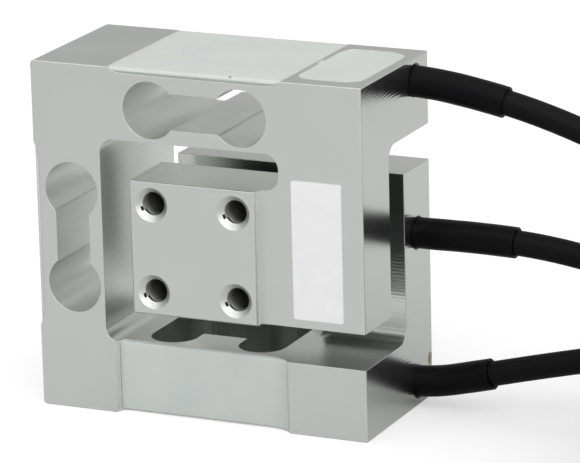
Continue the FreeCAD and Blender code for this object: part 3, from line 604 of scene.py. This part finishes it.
cores = []
for colour, shade in CORE_COLOURS.items():
    insulation = new_material(f"extruded_{colour}_pvc_insulation")
    place = add_node(insulation, "ShaderNodeTexCoord", {}).outputs["Object"]
    streak = add_node(insulation, "ShaderNodeTexNoise",
                      {"Vector": place, "Scale": 1 / (2 * MM), "Detail": 2.0})
    gloss = add_node(insulation, "ShaderNodeMapRange",
                     {"Value": streak.outputs["Fac"], "To Min": 0.28, "To Max": 0.45})
    plastic = add_node(insulation, "ShaderNodeBsdfPrincipled",
                       {"Base Color": linear(shade), "Roughness": gloss.outputs["Result"], "IOR": 1.52})
    add_node(insulation, "ShaderNodeOutputMaterial", {"Surface": plastic.outputs[0]})
    cores.append(insulation)
tinned = new_material("twisted_tinned_copper")
place = add_node(tinned, "ShaderNodeTexCoord", {}).outputs["Object"]
twist = add_node(tinned, "ShaderNodeTexWave", {"Vector": place, "Scale": math.pi / 10 / (0.35 * MM)},
                 bands_direction="DIAGONAL")
twist_relief = add_node(tinned, "ShaderNodeBump",
                        {"Height": twist.outputs["Fac"], "Strength": 0.6, "Distance": 0.05 * MM})
tin = add_node(tinned, "ShaderNodeBsdfPrincipled",
               {"Base Color": linear("#BDBDBA"), "Metallic": 1.0, "Roughness": 0.3,
                "Normal": twist_relief.outputs["Normal"]})
add_node(tinned, "ShaderNodeOutputMaterial", {"Surface": tin.outputs[0]})
cores.append(tinned)

for name in CABLES:
    line = centreline(cords[name])
    end = line[-1]
    outward = Vector((end.x - COIL_MIDDLE.x, end.y - COIL_MIDDLE.y, 0)).normalized()
    onward = Vector((outward.y, -outward.x, 0))
    bundle = bmesh.new()
    for number, ((beside, above), length) in enumerate(zip(CORE_PLACES, CORE_LENGTHS)):
        start = end + outward * beside * CORE_OFFSET + Vector((0, 0, above * CORE_OFFSET))
        turn = onward.to_track_quat("Z", "Y").to_matrix().to_4x4()
        for reach, radius, depth, slot in ((0, CORE / 2, length - BARE_TIP, number),
                                           (length - BARE_TIP, STRAND / 2, BARE_TIP, len(CORE_COLOURS))):
            middle = start + onward * (reach + depth / 2)
            made = bmesh.ops.create_cone(bundle, cap_ends=True, segments=20, radius1=radius, radius2=radius,
                                         depth=depth, matrix=Matrix.Translation(middle) @ turn)
            for face in {face for vertex in made["verts"] for face in vertex.link_faces}:
                face.material_index = slot
    rims = [edge for edge in bundle.edges if edge.calc_face_angle() > math.radians(60)]
    bmesh.ops.bevel(bundle, geom=rims, offset=CORE_CUT, offset_type="OFFSET", segments=2, profile=0.5,
                    affect="EDGES", material=-1)
    new_piece(f"{name}_cores", bundle, *cores)
    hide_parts(f"{name}_cable_leads")

# Coil ties
# Two black nylon cable ties hold the three coils in one stack. The band has fine teeth across it, and
# its locking head sits on the outside of the stack.
TIE_EDGE = 0.25 * MM

nylon = new_material("moulded_black_nylon")
place = add_node(nylon, "ShaderNodeTexCoord", {}).outputs["Object"]
teeth = add_node(nylon, "ShaderNodeTexWave", {"Vector": place, "Scale": math.pi / 10 / (1.2 * MM)},
                 bands_direction="Z")
teeth_relief = add_node(nylon, "ShaderNodeBump",
                        {"Height": teeth.outputs["Fac"], "Strength": 0.5, "Distance": 0.12 * MM})
mottle = add_node(nylon, "ShaderNodeTexNoise", {"Vector": place, "Scale": 1 / (3 * MM), "Detail": 2.0})
nylon_gloss = add_node(nylon, "ShaderNodeMapRange",
                       {"Value": mottle.outputs["Fac"], "To Min": 0.3, "To Max": 0.5})
polyamide = add_node(nylon, "ShaderNodeBsdfPrincipled",
                     {"Base Color": linear("#18181A"), "Roughness": nylon_gloss.outputs["Result"],
                      "IOR": 1.53, "Normal": teeth_relief.outputs["Normal"]})
add_node(nylon, "ShaderNodeOutputMaterial", {"Surface": polyamide.outputs[0]})
bands = cad_copy("coil_ties")
break_edges(bands, TIE_EDGE, 2)
ties = new_piece("tie_bands", bands, nylon)
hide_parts("coil_ties")

# Label
# A blank label of white polyester film with a satin face, stuck on the front column and rubbed down flat.
film_white = new_material("satin_white_polyester_film")
place = add_node(film_white, "ShaderNodeTexCoord", {}).outputs["Object"]
dapple = add_node(film_white, "ShaderNodeTexNoise", {"Vector": place, "Scale": 1 / (4 * MM), "Detail": 2.0})
film_tone = add_node(film_white, "ShaderNodeMix",
                     {0: dapple.outputs["Fac"], 6: linear("#EEEEF0"), 7: linear("#F6F6F6")}, data_type="RGBA")
film_relief = add_node(film_white, "ShaderNodeBump",
                       {"Height": dapple.outputs["Fac"], "Strength": 0.3, "Distance": 0.03 * MM})
polyester = add_node(film_white, "ShaderNodeBsdfPrincipled",
                     {"Base Color": film_tone.outputs[2], "Roughness": 0.35, "IOR": 1.55,
                      "Normal": film_relief.outputs["Normal"]})
add_node(film_white, "ShaderNodeOutputMaterial", {"Surface": polyester.outputs[0]})
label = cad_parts["label"]
label.data.materials.clear()
label.data.materials.append(film_white)

# Studio
# A plain white floor and soft light from a large lamp above the front and a weaker one at the right.
# The floor is white to the camera and pale to the metal that mirrors it, and keeps the object's shadow.
LENS = 270.0
SENSOR_WIDTH = 36.0
CAMERA_PLACE = (0.3875, -0.80084, 0.29085)
CAMERA_TURN = (74.0754, 1.3802, 24.6534)
FLOOR_REACH = 6.0
CAMERA_LIFT = 0.45           # what the floor gives off to the camera
MIRROR_LIFT = 0.04           # and to the metal
HORIZON, ZENITH = 0.42, 0.57
DIFFUSE_LEVEL = 1.12         # how much stronger the world lights matt surfaces than it shows
LAMP_AIM = Vector((0, 0, 0.04))
# Place, width, height and power
LAMPS = {"key_lamp": ((0.0, -0.45, 1.1), 1.7, 1.7, 7.2), "fill_lamp": ((0.75, -0.6, 0.55), 1.8, 1.15, 6.0)}

floor_paper = new_material("white_paper_floor")
seen = add_node(floor_paper, "ShaderNodeLightPath", {})
direct = add_node(floor_paper, "ShaderNodeMath",
                  {0: seen.outputs["Is Camera Ray"], 1: seen.outputs["Is Transmission Ray"]},
                  operation="MAXIMUM")
in_metal = add_node(floor_paper, "ShaderNodeMath", {0: seen.outputs["Is Glossy Ray"], 1: MIRROR_LIFT},
                    operation="MULTIPLY")
lift = add_node(floor_paper, "ShaderNodeMath",
                {0: direct.outputs[0], 1: CAMERA_LIFT, 2: in_metal.outputs[0]}, operation="MULTIPLY_ADD")
paper = add_node(floor_paper, "ShaderNodeBsdfPrincipled",
                 {"Base Color": linear("#D3D3D3"), "Roughness": 0.9, "Specular IOR Level": 0.0,
                  "Emission Color": linear("#FFFFFF"), "Emission Strength": lift.outputs[0]})
add_node(floor_paper, "ShaderNodeOutputMaterial", {"Surface": paper.outputs[0]})
sheet = bmesh.new()
bmesh.ops.create_grid(sheet, x_segments=1, y_segments=1, size=FLOOR_REACH)
floor_mesh = bpy.data.meshes.new("floor")
sheet.to_mesh(floor_mesh)
sheet.free()
floor_mesh.materials.append(floor_paper)
floor = bpy.data.objects.new("floor", floor_mesh)
bpy.context.scene.collection.objects.link(floor)

world = bpy.data.worlds.new("studio")
bpy.context.scene.world = world
world.use_nodes = True
world.node_tree.nodes.clear()
direction = add_node(world, "ShaderNodeTexCoord", {}).outputs["Generated"]
up = add_node(world, "ShaderNodeSeparateXYZ", {0: direction})
sky = add_node(world, "ShaderNodeMapRange",
               {"Value": up.outputs["Z"], "From Max": 0.9, "To Min": HORIZON, "To Max": ZENITH})
rays = add_node(world, "ShaderNodeLightPath", {})
mirrored = add_node(world, "ShaderNodeMath",
                    {0: rays.outputs["Is Camera Ray"], 1: rays.outputs["Is Glossy Ray"]}, operation="MAXIMUM")
shown = add_node(world, "ShaderNodeMath",
                 {0: mirrored.outputs[0], 1: rays.outputs["Is Transmission Ray"]}, operation="MAXIMUM")
level = add_node(world, "ShaderNodeMapRange",
                 {"Value": shown.outputs[0], "To Min": DIFFUSE_LEVEL, "To Max": 1.0})
light = add_node(world, "ShaderNodeMath", {0: sky.outputs["Result"], 1: level.outputs["Result"]},
                 operation="MULTIPLY")
backdrop = add_node(world, "ShaderNodeBackground", {"Color": linear("#FFFFFF"), "Strength": light.outputs[0]})
add_node(world, "ShaderNodeOutputWorld", {"Surface": backdrop.outputs[0]})

for name, (lamp_place, width, height, power) in LAMPS.items():
    lamp_data = bpy.data.lights.new(name, "AREA")
    lamp_data.shape = "RECTANGLE"
    lamp_data.size = width
    lamp_data.size_y = height
    lamp_data.energy = power
    lamp = bpy.data.objects.new(name, lamp_data)
    lamp.location = lamp_place
    lamp.rotation_euler = (LAMP_AIM - Vector(lamp_place)).to_track_quat("-Z", "Y").to_euler()
    bpy.context.scene.collection.objects.link(lamp)

camera_data = bpy.data.cameras.new("camera")
camera_data.lens = LENS
camera_data.sensor_width = SENSOR_WIDTH
camera = bpy.data.objects.new("camera", camera_data)
camera.location = CAMERA_PLACE
camera.rotation_euler = Euler([math.radians(angle) for angle in CAMERA_TURN])
bpy.context.scene.collection.objects.link(camera)
bpy.context.scene.camera = camera
bpy.context.scene.view_settings.view_transform = "Standard"
